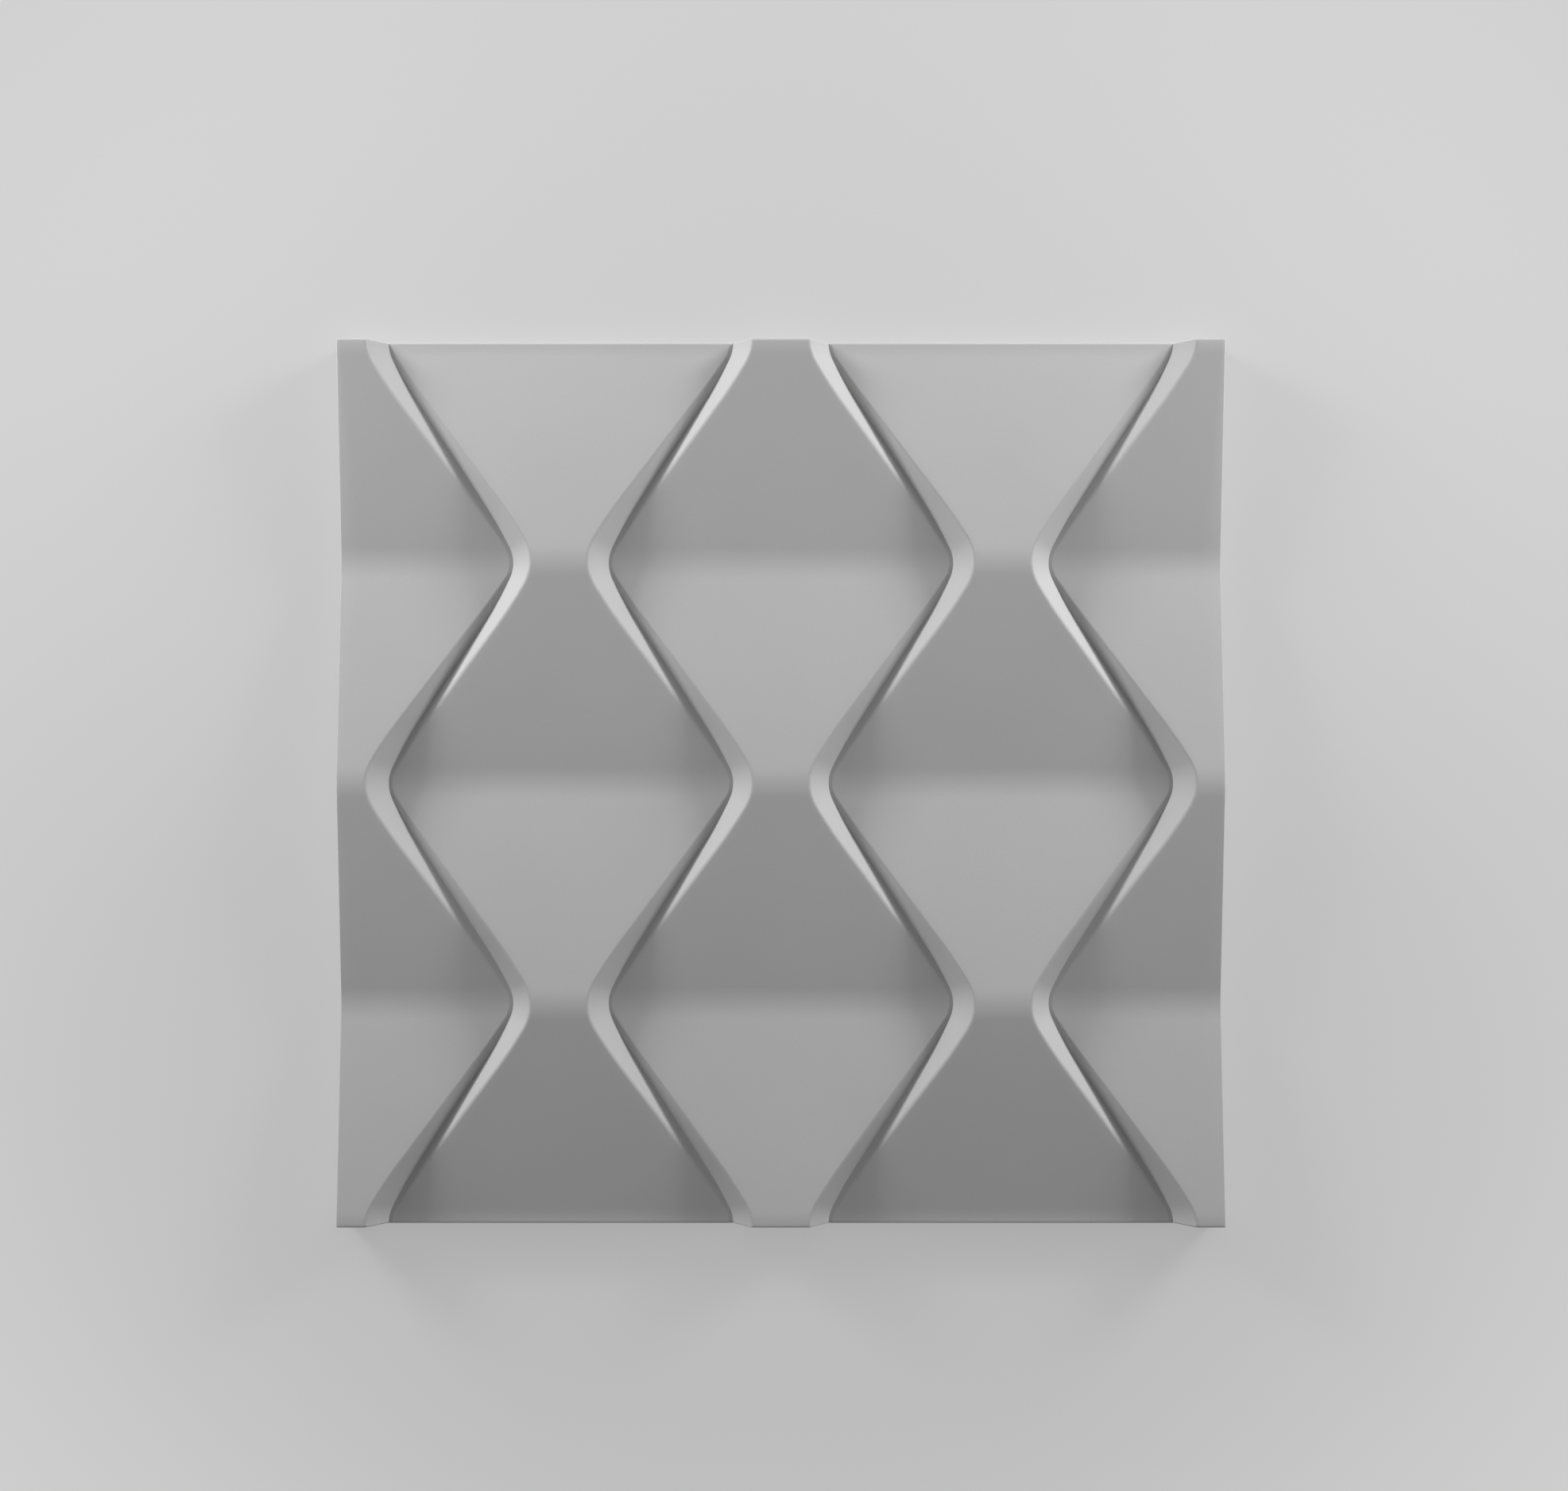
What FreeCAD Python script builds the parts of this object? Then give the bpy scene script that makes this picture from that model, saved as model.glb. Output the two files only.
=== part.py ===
"""Wall panel tile, cast in one piece: a square slab that carries five upright ribbons.

Each ribbon swells and narrows in plan. Its face is folded like a shallow zigzag: high where the
ribbon is narrow and low where it is wide. Neighbouring ribbons are half a repeat out of step, so a
narrow high waist always lies beside a wide low part. Sloping walls drop from every ribbon to sharp
crease lines that all stay at one level. The two outer ribbons are cut in half by the tile's edge.

The tile lies on its back: X runs across the ribbons, Y along them, Z out of the face.
The origin is at the middle of the flat back.
"""
import FreeCAD
import Part
import math
import os

Vector = FreeCAD.Vector
ORIGIN = Vector(0, 0, 0)
X_AXIS = Vector(1, 0, 0)
Y_AXIS = Vector(0, 1, 0)

# Overall sizes, in millimetres. The pattern repeats so that it runs on from tile to tile.
tile_side = 500.0
back_thickness = 10.0
pitches_per_side = 4

# Plan of a ribbon. A line from the tip of one bend to the tip of the next has a lean of its own. The
# tight arc round a tip stops a little short of that lean, the straight flank between two bends leans
# a little more, and the wide arc of a shoulder joins them.
waist_half_width = 27.1
tip_radius = 20.0
tip_arc_short_deg = 2.6
flank_over_deg = 3.7

# Folded face of a ribbon
face_rise = 11.4
fold_radius = 85.0

# Walls from the face down to the crease lines. Where the face is lowest the rounded edge takes up
# the wall but for a short straight foot.
wall_slope_deg = 48.0
edge_radius = 2.4
foot_height = 0.1

# How far the uncut blank stands past the finished tile
blank_margin = 1.0

# The pitch is the step between ribbon centres, and half a repeat along a ribbon
ribbon_pitch = tile_side / pitches_per_side
ribbons_each_way = math.ceil(pitches_per_side / 2.0)
bends_each_way = ribbons_each_way + 1

wall_slope = math.radians(wall_slope_deg)
wall_tan = math.tan(wall_slope)
low_wall_height = foot_height + edge_radius * math.tan(wall_slope / 2.0) * math.sin(wall_slope)
crease_level = back_thickness
low_face_level = crease_level + low_wall_height
high_face_level = low_face_level + face_rise

widest_half_width = ribbon_pitch - waist_half_width
side_shift = widest_half_width - waist_half_width
tip_to_tip_lean = math.atan2(side_shift, ribbon_pitch)
tip_turn = tip_to_tip_lean - math.radians(tip_arc_short_deg)
plan_lean = tip_to_tip_lean + math.radians(flank_over_deg)


def shoulder_arc_radius():
    """Radius of the arc that joins the end of a tip's arc to the flank through the half-way point."""
    tip_reach = tip_radius * (1.0 - math.cos(tip_turn))
    run_left = ribbon_pitch / 2.0 - tip_radius * math.sin(tip_turn)
    excess = tip_reach + run_left * math.tan(plan_lean) - side_shift / 2.0
    return excess * math.cos(plan_lean) / (1.0 - math.cos(plan_lean - tip_turn))


def flank_lean(shift, radius):
    """Lean to Y of the flanks of a zigzag that goes sideways by shift in every pitch, round arcs."""
    side = shift - 2.0 * radius
    return math.atan2(side, ribbon_pitch) + math.asin(2.0 * radius / math.hypot(ribbon_pitch, side))


def bend(tip_x, tip_y, inward, radii, leans):
    """Edges of one bend of a zigzag in the XY plane, from its lower to its upper end.

    inward is 1 where the centres of its arcs lie towards +X and -1 where they lie the other way.
    leans holds the lean to Y at the outer end of each arc, the tip's arc first.
    """
    starts = [0.0] + leans[:-1]
    x = tip_x
    y = tip_y
    for radius, start, end in zip(radii, starts, leans):
        x += inward * radius * (math.cos(start) - math.cos(end))
        y -= radius * (math.sin(end) - math.sin(start))
    marks = [-lean for lean in reversed(leans)] + leans
    arcs = list(reversed(radii)) + radii[1:]
    edges = []
    point = Vector(x, y, 0)
    for radius, start, end in zip(arcs, marks, marks[1:]):
        half_way = (start + end) / 2.0
        steps = []
        for lean in (half_way, end):
            step_x = inward * radius * (math.cos(start) - math.cos(lean))
            step_y = radius * (math.sin(lean) - math.sin(start))
            steps.append(point + Vector(step_x, step_y, 0))
        edges.append(Part.Arc(point, steps[0], steps[1]).toShape())
        point = steps[1]
    return edges


def rounded_zigzag(near_x, far_x, near_radii, far_radii, leans):
    """Edges of a zigzag along Y in the XY plane, with rounded bends and straight flanks.

    The tip at Y = 0 reaches back to near_x, the next one each way out to far_x, and so on.
    """
    edges = []
    for number in range(-bends_each_way, bends_each_way + 1):
        tip_y = number * ribbon_pitch
        if number % 2 == 0:
            arcs = bend(near_x, tip_y, 1, near_radii, leans)
        else:
            arcs = bend(far_x, tip_y, -1, far_radii, leans)
        if edges:
            flank_start = edges[-1].lastVertex().Point
            edges.append(Part.makeLine(flank_start, arcs[0].firstVertex().Point))
        edges.extend(arcs)
    return edges


def wire_between(chain, other_chain):
    """Closed wire of two chains of edges that both run up Y, joined by a line at each end."""
    foot = Part.makeLine(chain[0].firstVertex().Point, other_chain[0].firstVertex().Point)
    head = Part.makeLine(chain[-1].lastVertex().Point, other_chain[-1].lastVertex().Point)
    return Part.Wire(Part.__sortEdges__(chain + other_chain + [foot, head]))


def ribbon_outline(level):
    """Plan outline of a ribbon at a level: the walls meet the crease lines and lean in above."""
    inset = (level - crease_level) / wall_tan
    crease_radii = [tip_radius, shoulder_arc_radius()]
    right_side = rounded_zigzag(
        waist_half_width - inset,
        widest_half_width - inset,
        [radius + inset for radius in crease_radii],
        [radius - inset for radius in crease_radii],
        [tip_turn, plan_lean],
    )
    left_side = [edge.mirror(ORIGIN, X_AXIS) for edge in right_side]
    outline = wire_between(right_side, left_side)
    outline.translate(Vector(0, 0, level))
    return outline


def folded_block():
    """Block wider than any ribbon, with the zigzag face of a ribbon on top.

    Its section is drawn lying down, with height along -X, and is then turned upright.
    """
    face_line = rounded_zigzag(
        -high_face_level,
        -low_face_level,
        [fold_radius],
        [fold_radius],
        [flank_lean(face_rise, fold_radius)],
    )
    start_y = face_line[0].firstVertex().Point.y
    end_y = face_line[-1].lastVertex().Point.y
    back_line = [Part.makeLine(Vector(0, start_y, 0), Vector(0, end_y, 0))]
    section = Part.Face(wire_between(face_line, back_line))
    half_width = ribbon_pitch
    section.translate(Vector(0, 0, -half_width))
    block = section.extrude(Vector(0, 0, 2.0 * half_width))
    return block.rotated(ORIGIN, Y_AXIS, 90.0)


def is_face_of_ribbon(face):
    """True for the flats and folds of the zigzag face, which never lean sideways."""
    u_start, u_end, v_start, v_end = face.ParameterRange
    normal = face.normalAt((u_start + u_end) / 2.0, (v_start + v_end) / 2.0)
    return abs(normal.x) < 1e-6 and normal.z > 0.5


def make_ribbon():
    """One ribbon: leaning walls, a folded face, and a rounded edge between them."""
    walls = Part.makeLoft(
        [ribbon_outline(crease_level), ribbon_outline(high_face_level + blank_margin)],
        True,
        True,
    )
    ribbon = walls.common(folded_block())
    rims = []
    for face in ribbon.Faces:
        if not is_face_of_ribbon(face):
            continue
        for edge in face.Edges:
            climb = edge.lastVertex().Point.y - edge.firstVertex().Point.y
            if abs(climb) > 1e-6:
                rims.append(edge)
    return ribbon.makeFillet(edge_radius, rims)


def make_tile():
    """Slab and ribbons in one body, cut to the square.

    The ribbons' feet touch along the crease lines and cover the whole slab.
    """
    blank_side = tile_side + 2.0 * blank_margin
    slab = Part.makeBox(
        blank_side,
        blank_side,
        crease_level,
        Vector(-blank_side / 2.0, -blank_side / 2.0, 0),
    )
    ribbon = make_ribbon()
    ribbons = []
    for column in range(-ribbons_each_way, ribbons_each_way + 1):
        half_repeat = ribbon_pitch * (column % 2)
        ribbons.append(ribbon.translated(Vector(column * ribbon_pitch, half_repeat, 0)))
    blank = slab.multiFuse(ribbons)
    square = Part.makeBox(
        tile_side,
        tile_side,
        high_face_level + blank_margin,
        Vector(-tile_side / 2.0, -tile_side / 2.0, 0),
    )
    return blank.common(square).removeSplitter()


tile = make_tile()
os.makedirs("parts", exist_ok=True)
tile.exportStep("parts/panel_tile.step")
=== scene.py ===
"""Relief wall tile of cast gypsum, lying face up on a pale studio floor and seen from above.

All lengths are in metres. X runs across the ribbons, Y along them and Z out of the face.
"""
import bpy
import math
import numpy as np
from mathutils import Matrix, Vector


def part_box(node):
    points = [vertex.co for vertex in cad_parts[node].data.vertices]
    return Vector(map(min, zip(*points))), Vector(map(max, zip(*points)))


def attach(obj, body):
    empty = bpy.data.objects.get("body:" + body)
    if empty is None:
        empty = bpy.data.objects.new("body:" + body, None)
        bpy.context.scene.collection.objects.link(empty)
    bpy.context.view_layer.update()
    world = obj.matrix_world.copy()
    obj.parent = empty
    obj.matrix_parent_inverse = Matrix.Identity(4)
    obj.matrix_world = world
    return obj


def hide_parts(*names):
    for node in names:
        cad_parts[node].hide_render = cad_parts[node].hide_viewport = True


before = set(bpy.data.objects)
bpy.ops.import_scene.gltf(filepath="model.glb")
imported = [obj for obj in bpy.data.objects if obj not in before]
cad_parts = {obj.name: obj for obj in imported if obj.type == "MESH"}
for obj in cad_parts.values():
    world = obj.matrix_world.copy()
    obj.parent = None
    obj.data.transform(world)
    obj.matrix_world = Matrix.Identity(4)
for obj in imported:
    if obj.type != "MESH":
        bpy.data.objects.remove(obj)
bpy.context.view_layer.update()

# The tile: one casting of gypsum, poured face down in a mould and struck off flat at the back. Four
# wavy grooves part its face into five ribbons, each folded high at its narrow waists and low at its
# wide parts; the walls lean in more where they are low, and their rims are rounder there.
tile_low, tile_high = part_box("panel_tile")
half_side = (tile_high.x - tile_low.x) / 2.0
face_top = tile_high.z
ribbon_pitch = half_side / 2.0
waist_half_width = 0.0271
widest_half_width = ribbon_pitch - waist_half_width
tip_radius = 0.020
tip_arc_short = math.radians(2.6)
flank_over = math.radians(3.7)
face_rise = 0.0114
fold_radius = 0.085
low_wall_height = 0.0003
rim_inset_low = 0.0021
rim_inset_high = 0.0109
rim_inset_sag = 0.0004
rim_radius_low = 0.0050
rim_radius_high = 0.0027
corner_radius = 0.0005
crease_level = face_top - face_rise - low_wall_height

STATIONS = 500
WALL_CELLS = 3
RIM_CELLS = 7
FACE_CELLS = 8
CORNER_CELLS = 3
sharp_angle = math.radians(35.0)


def fold_lean():
    """Lean of a face's straight slopes between two folds: the lean of the line between the centres
    of two fold arcs, plus the arcsine of two radii over the distance between them."""
    side = face_rise - 2.0 * fold_radius
    centre_gap = math.hypot(ribbon_pitch, side)
    return math.atan2(side, ribbon_pitch) + math.asin(2.0 * fold_radius / centre_gap)


def plan_bend():
    """Radii of a ribbon's bend and the leans at which its arcs end: a tight arc round the tip that
    stops a little short of the lean from tip to tip, and a wide one up to the flank, which leans a
    little more. The wide one is as large as it takes to meet a flank through the half-way point."""
    shift = widest_half_width - waist_half_width
    tip_to_tip = math.atan2(shift, ribbon_pitch)
    turn = tip_to_tip - tip_arc_short
    lean = tip_to_tip + flank_over
    run_left = ribbon_pitch / 2.0 - tip_radius * math.sin(turn)
    excess = tip_radius * (1.0 - math.cos(turn)) + run_left * math.tan(lean) - shift / 2.0
    shoulder_radius = excess * math.cos(lean) / (1.0 - math.cos(lean - turn))
    return [tip_radius, shoulder_radius], [turn, lean]


def bend_reach(along, radii, leans):
    """How far a bend has gone sideways at a distance along from its tip.

    It is a sum: each arc adds radius times (cosine of its first lean less cosine of the lean
    reached), and the straight flank adds its length along Y times the tangent of the last lean.
    """
    reach = 0.0
    start = 0.0
    first_lean = 0.0
    for radius, last_lean in zip(radii, leans):
        run = radius * (math.sin(last_lean) - math.sin(first_lean))
        sine = math.sin(first_lean) + np.clip(along - start, 0.0, run) / radius
        reach = reach + radius * (math.cos(first_lean) - np.sqrt(1.0 - sine**2))
        start = start + run
        first_lean = last_lean
    return reach + np.maximum(along - start, 0.0) * math.tan(first_lean)


def rounded_zigzag(along, near, far, near_radii, far_radii, leans):
    """Rounded zigzag as a function of the distance along it: near where along is 0, far a pitch away,
    mirrored and repeated. Each half pitch is the bend it belongs to."""
    along = np.abs((along + ribbon_pitch) % (2.0 * ribbon_pitch) - ribbon_pitch)
    near_half = near + bend_reach(along, near_radii, leans)
    far_half = far - bend_reach(ribbon_pitch - along, far_radii, leans)
    return np.where(along < ribbon_pitch / 2.0, near_half, far_half)


def half_ribbon(along, end_gap):
    """Half a ribbon as a function of two parameters: the station along it, and the steps from the
    crease to its middle. The section climbs the wall in a straight line to where the sharp rim would
    be, but rounds it with an arc that is tangent to wall and face, and crosses the level face. Inset
    and radius of the rim go from their low to their high values with the height of the face above
    the crease, the inset less a parabola that is its sag half-way. Returns distances from the middle
    and heights; end_gap is how far short of the middle the face stops."""
    fold = [fold_radius]
    face = -rounded_zigzag(along, -face_top, face_rise - face_top, fold, fold, [fold_lean()])
    height = (face - crease_level)[:, None]
    share_up = (height - low_wall_height) / face_rise
    rim_inset = rim_inset_low + (rim_inset_high - rim_inset_low) * share_up
    rim_inset = rim_inset - 4.0 * rim_inset_sag * share_up * (1.0 - share_up)
    rim_radius = rim_radius_low + (rim_radius_high - rim_radius_low) * share_up
    slope = np.arctan2(height, rim_inset)
    setback = rim_radius * np.tan(slope / 2.0)

    wall_end = rim_inset - setback * np.cos(slope)
    wall_inset = wall_end * np.linspace(0.0, 1.0, WALL_CELLS + 1)
    wall_level = crease_level + wall_inset * np.tan(slope)

    lean = slope * np.linspace(1.0, 0.0, RIM_CELLS + 1)[1:]
    arc_inset = rim_inset + setback - rim_radius * np.sin(lean)
    arc_level = face[:, None] - rim_radius * (1.0 - np.cos(lean))

    inset = np.hstack([wall_inset, arc_inset])
    radii, leans = plan_bend()
    distance = rounded_zigzag(
        along[:, None],
        waist_half_width - inset,
        widest_half_width - inset,
        [radius + inset for radius in radii],
        [radius - inset for radius in radii],
        leans,
    )
    share = np.linspace(0.0, 1.0, FACE_CELLS + 1)[1:]
    across = distance[:, -1:] * (1.0 - share) + end_gap * share
    level = np.repeat(face[:, None], FACE_CELLS, axis=1)
    return np.hstack([distance, across]), np.hstack([wall_level, arc_level, level])


def relief_grid():
    """The whole face as one grid of rows along Y and columns along X: half ribbons side by side,
    every other ribbon shifted by a pitch along Y, neighbours sharing the column on their crease."""
    reach = half_side - corner_radius
    y = np.linspace(-reach, reach, STATIONS + 1)
    outermost = round(half_side / ribbon_pitch)
    columns_x = []
    columns_z = []
    for ribbon in range(-outermost, outermost + 1):
        end_gap = corner_radius if abs(ribbon) == outermost else 0.0
        distance, level = half_ribbon(y - ribbon_pitch * (ribbon % 2), end_gap)
        middle = ribbon * ribbon_pitch
        if ribbon > -outermost:
            columns_x.append(middle - distance[:, 1:])
            columns_z.append(level[:, 1:])
        if ribbon < outermost:
            start = 1 if ribbon > -outermost else 0
            columns_x.append((middle + distance)[:, ::-1][:, start:])
            columns_z.append(level[:, ::-1][:, start:])
    x = np.hstack(columns_x)
    z = np.hstack(columns_z)
    return np.stack([x, np.repeat(y[:, None], x.shape[1], axis=1), z], axis=2)


def closed_tile():
    """Closed mesh of the tile: the relief grid, rings that run down its four sides round softened
    corners, and one flat face at the back. A ring is the relief's border, scaled out in plan by a
    step of a quarter circle's sine; the upper rings drop by radius times (1 less cosine) below it,
    and the lower ones lie level, the same way above the floor."""
    relief = relief_grid()
    rows, columns = relief.shape[:2]
    index = np.arange(rows * columns).reshape(rows, columns)
    border = np.concatenate(
        [index[0, :-1], index[:-1, -1], index[-1, :0:-1], index[:0:-1, 0]]
    )
    points = [relief.reshape(-1, 3)]
    edge = points[0][border]
    turn = np.linspace(0.0, math.pi / 2.0, CORNER_CELLS + 1)
    out = np.concatenate([np.sin(turn[1:]), np.cos(turn)])
    drop = corner_radius * (1.0 - np.cos(turn[1:]))
    foot = corner_radius * (1.0 - np.sin(turn))
    grow = 1.0 + corner_radius * out / (half_side - corner_radius)
    rings = np.repeat(edge[None], len(out), axis=0)
    rings[:, :, :2] *= grow[:, None, None]
    rings[: len(drop), :, 2] -= drop[:, None]
    rings[len(drop):, :, 2] = foot[:, None]
    points.append(rings.reshape(-1, 3))

    below = rows * columns + np.arange(rings.shape[0] * len(border))
    loops = np.vstack([border, below.reshape(-1, len(border))])
    after = np.roll(loops, -1, axis=1)
    relief_faces = np.stack([index[:-1, :-1], index[:-1, 1:], index[1:, 1:], index[1:, :-1]], axis=2)
    side_faces = np.stack([loops[:-1], loops[1:], after[1:], after[:-1]], axis=2)
    faces = np.vstack([relief_faces.reshape(-1, 4), side_faces.reshape(-1, 4)]).tolist()
    faces.append(loops[-1][::-1].tolist())
    return np.vstack(points), faces


tile_points, tile_faces = closed_tile()
tile_mesh = bpy.data.meshes.new("cast_tile")
tile_mesh.from_pydata(tile_points.tolist(), [], tile_faces)
tile_mesh.shade_smooth()
tile_mesh.set_sharp_from_angle(angle=sharp_angle)
tile = bpy.data.objects.new("cast_tile", tile_mesh)
bpy.context.scene.collection.objects.link(tile)

# Matt neutral grey casting. Wide faint clouds show where the mix dried slower, a fine speckle shows
# its grit, and a shallow grain roughens the skin; all three are noise over Object coordinates.
cloud_grey = (0.372, 0.372, 0.372, 1.0)
clear_grey = (0.388, 0.388, 0.388, 1.0)
grit_grey = (0.350, 0.350, 0.350, 1.0)
cloud_edges = (0.35, 0.65)
grit_edges = (0.55, 0.80)
most_grit = 0.5
smoothest = 0.78
roughest = 0.86
specular_level = 0.3
skin_depth = 0.00004
skin_strength = 0.5

gypsum = bpy.data.materials.new("cast_gypsum")
gypsum.use_nodes = True
nodes = gypsum.node_tree.nodes
links = gypsum.node_tree.links
shader = nodes["Principled BSDF"]
shader.inputs["Specular IOR Level"].default_value = specular_level
coordinates = nodes.new("ShaderNodeTexCoord")


def noise(per_metre, detail, roughness):
    """Noise texture on Object coordinates with about per_metre lumps to the metre."""
    texture = nodes.new("ShaderNodeTexNoise")
    texture.inputs["Scale"].default_value = per_metre
    texture.inputs["Detail"].default_value = detail
    texture.inputs["Roughness"].default_value = roughness
    links.new(coordinates.outputs["Object"], texture.inputs["Vector"])
    return texture.outputs["Fac"]


def stretched(value, edges, to_low, to_high):
    """Value with the span between two edges mapped in a straight line to to_low up to to_high."""
    spread = nodes.new("ShaderNodeMapRange")
    spread.inputs["From Min"].default_value = edges[0]
    spread.inputs["From Max"].default_value = edges[1]
    spread.inputs["To Min"].default_value = to_low
    spread.inputs["To Max"].default_value = to_high
    links.new(value, spread.inputs["Value"])
    return spread.outputs["Result"]


def blended(share, first, second):
    """Colour that goes in a straight line from first to second as share goes from 0 to 1; each of the
    two is a colour or a socket."""
    mix = nodes.new("ShaderNodeMix")
    mix.data_type = "RGBA"
    links.new(share, mix.inputs["Factor"])
    for socket, colour in ((mix.inputs["A"], first), (mix.inputs["B"], second)):
        if isinstance(colour, tuple):
            socket.default_value = colour
        else:
            links.new(colour, socket)
    return mix.outputs["Result"]


clouds = noise(per_metre=9.0, detail=4.0, roughness=0.5)
speckle = noise(per_metre=650.0, detail=2.0, roughness=0.6)
skin = noise(per_metre=1400.0, detail=3.0, roughness=0.6)
body = blended(stretched(clouds, cloud_edges, 0.0, 1.0), cloud_grey, clear_grey)
colour = blended(stretched(speckle, grit_edges, 0.0, most_grit), body, grit_grey)
links.new(colour, shader.inputs["Base Color"])
links.new(stretched(clouds, cloud_edges, smoothest, roughest), shader.inputs["Roughness"])
grain = nodes.new("ShaderNodeBump")
grain.inputs["Strength"].default_value = skin_strength
grain.inputs["Distance"].default_value = skin_depth
links.new(skin, grain.inputs["Height"])
links.new(grain.outputs["Normal"], shader.inputs["Normal"])
tile_mesh.materials.append(gypsum)

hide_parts("panel_tile")
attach(tile, "root")

# The floor: a plain pale sheet under the tile, wide enough to fill the picture. Part of what the
# camera sees of it is an even pale grey, so that it looks level; the rest is lit paint, which keeps
# the tile's shadow. The even share grows with the distance from the tile, so no lamp glares there.
floor_half = 4.0
floor_colour = (0.50, 0.50, 0.50, 1.0)
floor_roughness = 0.9
even_grey = (0.63, 0.63, 0.63, 1.0)
share_near = 0.60
share_far = 0.97
near_reach = 0.33
far_reach = 0.65

floor_mesh = bpy.data.meshes.new("floor")
floor_turns = ((-1, -1), (1, -1), (1, 1), (-1, 1))
floor_corners = [(floor_half * x, floor_half * y, 0.0) for x, y in floor_turns]
floor_mesh.from_pydata(floor_corners, [], [(0, 1, 2, 3)])
floor = bpy.data.objects.new("floor", floor_mesh)
bpy.context.scene.collection.objects.link(floor)

floor_paint = bpy.data.materials.new("floor_paint")
floor_paint.use_nodes = True
floor_nodes = floor_paint.node_tree.nodes
floor_links = floor_paint.node_tree.links


def camera_share(tree):
    """1 for rays from the camera, also by way of gloss or clear glass, and 0 for all others: the sum
    of the three marks that a ray carries."""
    rays = tree.nodes.new("ShaderNodeLightPath")
    total = rays.outputs["Is Camera Ray"]
    for mark in ("Is Glossy Ray", "Is Transmission Ray"):
        adding = tree.nodes.new("ShaderNodeMath")
        tree.links.new(total, adding.inputs[0])
        tree.links.new(rays.outputs[mark], adding.inputs[1])
        total = adding.outputs["Value"]
    return total


lit_paint = floor_nodes["Principled BSDF"]
lit_paint.inputs["Base Color"].default_value = floor_colour
lit_paint.inputs["Roughness"].default_value = floor_roughness
even_light = floor_nodes.new("ShaderNodeEmission")
even_light.inputs["Color"].default_value = even_grey

floor_place = floor_nodes.new("ShaderNodeTexCoord")
distance = floor_nodes.new("ShaderNodeVectorMath")
distance.operation = "LENGTH"
floor_links.new(floor_place.outputs["Object"], distance.inputs[0])
share_there = floor_nodes.new("ShaderNodeMapRange")
share_there.interpolation_type = "SMOOTHSTEP"
share_there.inputs["From Min"].default_value = near_reach
share_there.inputs["From Max"].default_value = far_reach
share_there.inputs["To Min"].default_value = share_near
share_there.inputs["To Max"].default_value = share_far
floor_links.new(distance.outputs["Value"], share_there.inputs["Value"])
even_share = floor_nodes.new("ShaderNodeMath")
even_share.operation = "MULTIPLY"
floor_links.new(share_there.outputs["Result"], even_share.inputs[0])
floor_links.new(camera_share(floor_paint.node_tree), even_share.inputs[1])
floor_look = floor_nodes.new("ShaderNodeMixShader")
floor_links.new(even_share.outputs["Value"], floor_look.inputs["Fac"])
floor_links.new(lit_paint.outputs["BSDF"], floor_look.inputs[1])
floor_links.new(even_light.outputs["Emission"], floor_look.inputs[2])
floor_links.new(floor_look.outputs["Shader"], floor_nodes["Material Output"].inputs["Surface"])
floor_mesh.materials.append(floor_paint)


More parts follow.
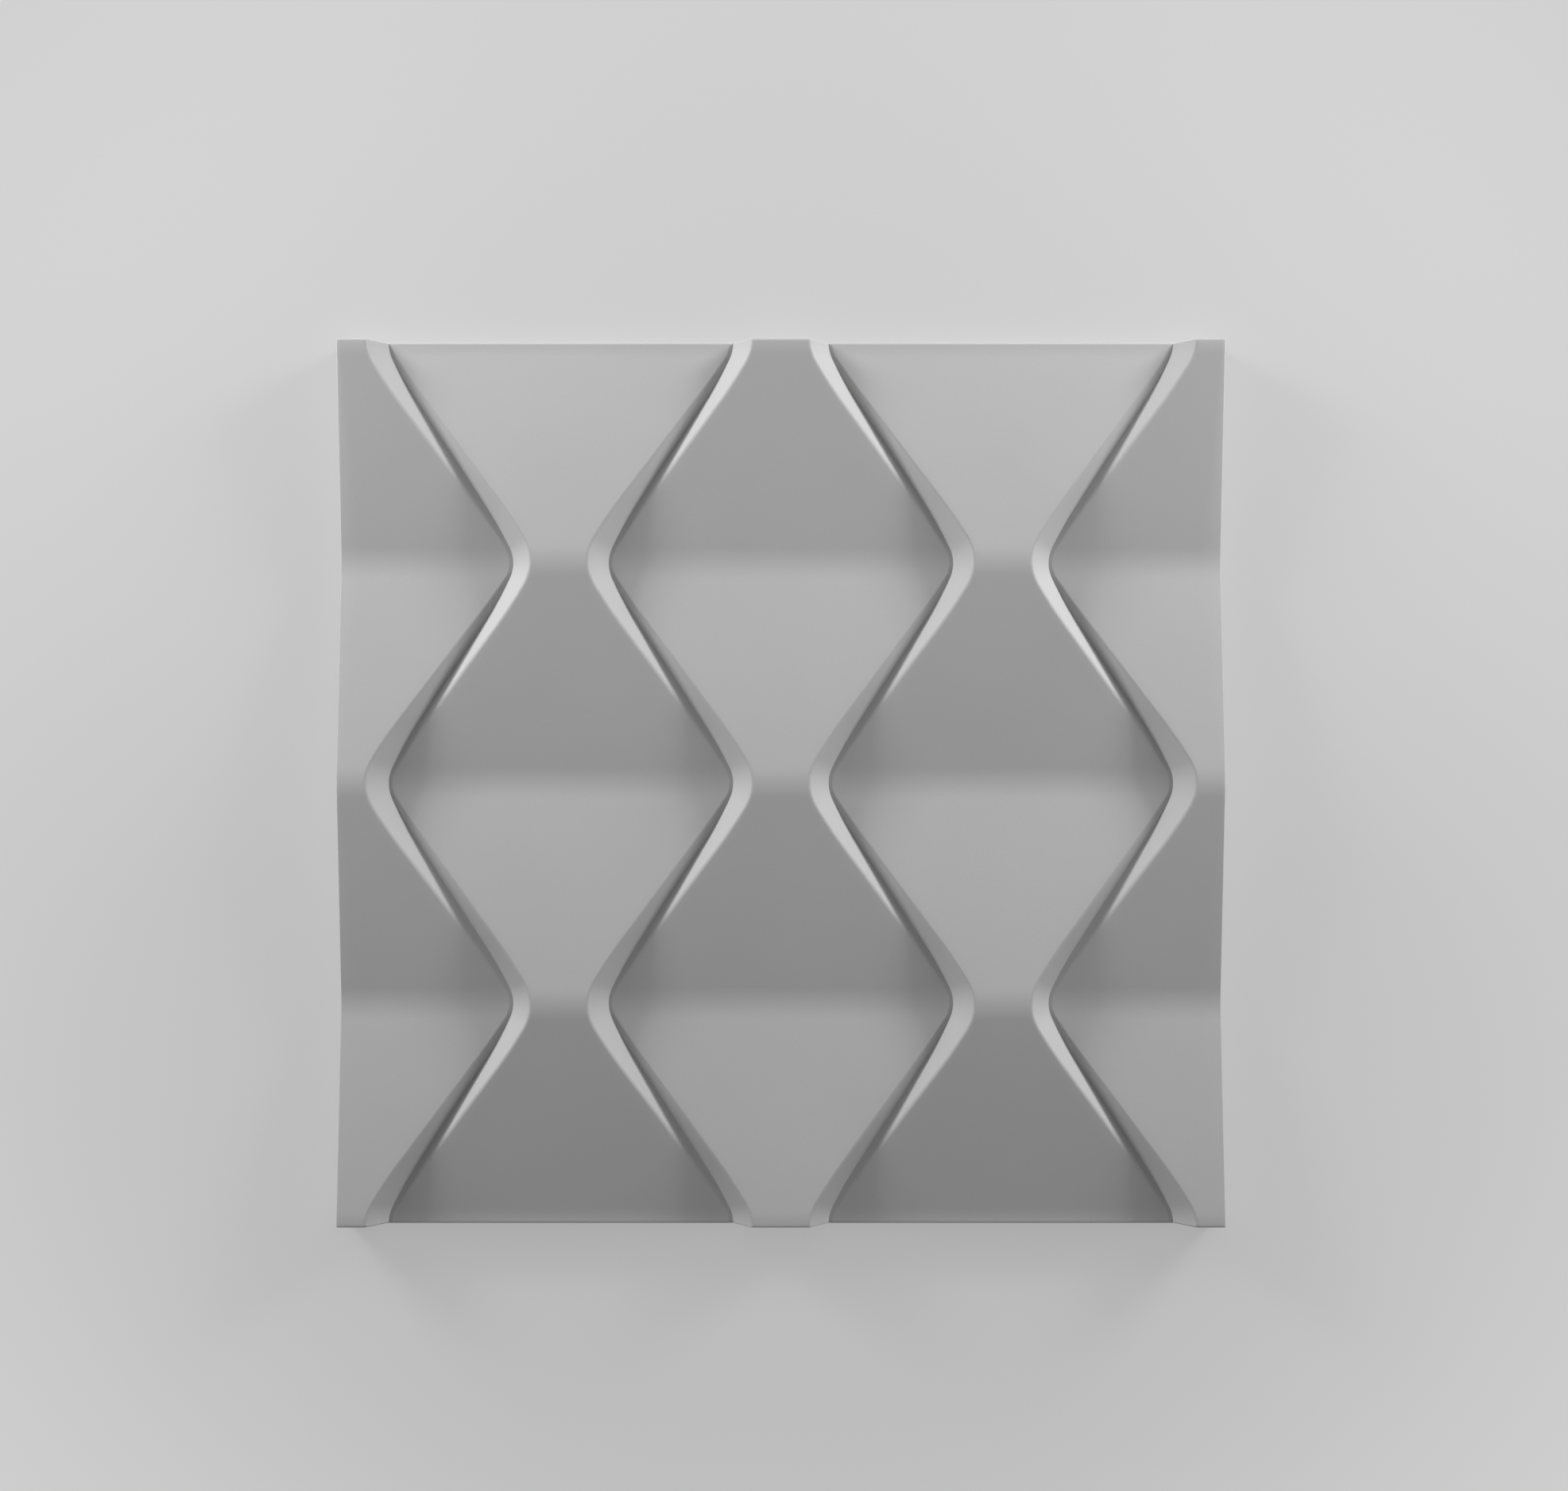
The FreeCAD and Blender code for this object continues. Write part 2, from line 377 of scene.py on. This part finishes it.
# Studio light: pairs of soft boxes stand left and right, low over the floor and turned to the tile,
# so that the walls catch them; a broad one hangs overhead, and a weak one past the lower edge and
# the room add a faint fill.
def soft_box(name, place, width, height, watts):
    """Rectangular lamp at a place, turned to the middle of the tile."""
    lamp = bpy.data.lights.new(name, "AREA")
    lamp.shape = "RECTANGLE"
    lamp.size = width
    lamp.size_y = height
    lamp.energy = watts
    holder = bpy.data.objects.new(name, lamp)
    holder.location = place
    holder.rotation_euler = (-holder.location).to_track_quat("-Z", "Y").to_euler()
    holder.visible_camera = False
    bpy.context.scene.collection.objects.link(holder)


for side in (-1, 1):
    soft_box("near_box", (0.80 * side, 0.50, 0.35), 0.50, 0.30, 2.4)
    soft_box("low_box", (0.55 * side, 0.95, 0.12), 0.40, 0.16, 2.0)
    soft_box("wide_box", (1.30 * side, 1.00, 0.35), 0.50, 0.30, 27.0)
soft_box("overhead", (0.0, 0.30, 0.90), 0.80, 0.80, 2.1)
soft_box("foot_box", (0.0, -1.00, 0.50), 0.80, 0.40, 0.4)

# The room: a faint even light from all round, which fills the shadows. The camera sees it as a pale
# even backdrop.
room_strength = 0.11
backdrop_strength = 0.63

studio = bpy.data.worlds.new("studio")
studio.use_nodes = True
room = studio.node_tree.nodes["Background"]
room.inputs["Color"].default_value = (1.0, 1.0, 1.0, 1.0)
strength = studio.node_tree.nodes.new("ShaderNodeMapRange")
strength.inputs["To Min"].default_value = room_strength
strength.inputs["To Max"].default_value = backdrop_strength
studio.node_tree.links.new(camera_share(studio.node_tree), strength.inputs["Value"])
studio.node_tree.links.new(strength.outputs["Result"], room.inputs["Strength"])
bpy.context.scene.world = studio

# The camera: straight above the tile, with the photograph's view angle. The tile sits a little below
# and left of the middle of the picture, which the lens shift gives.
picture_width_px = 1973.0
picture_height_px = 1876.0
tile_middle_x_px = 982.6
tile_middle_y_px = 985.2
tile_side_px = 1119.1
view_angle = math.radians(45.0)

camera = bpy.data.cameras.new("camera")
camera.sensor_width = 36.0
camera.lens = camera.sensor_width / 2.0 / math.tan(view_angle / 2.0)
focal_px = camera.lens / camera.sensor_width * picture_width_px
camera.shift_x = (picture_width_px / 2.0 - tile_middle_x_px) / picture_width_px
camera.shift_y = (tile_middle_y_px - picture_height_px / 2.0) / picture_width_px
camera_holder = bpy.data.objects.new("camera", camera)
camera_holder.location = (0.0, 0.0, face_top + focal_px * 2.0 * half_side / tile_side_px)
bpy.context.scene.collection.objects.link(camera_holder)
bpy.context.scene.camera = camera_holder

bpy.context.scene.view_settings.view_transform = "Standard"
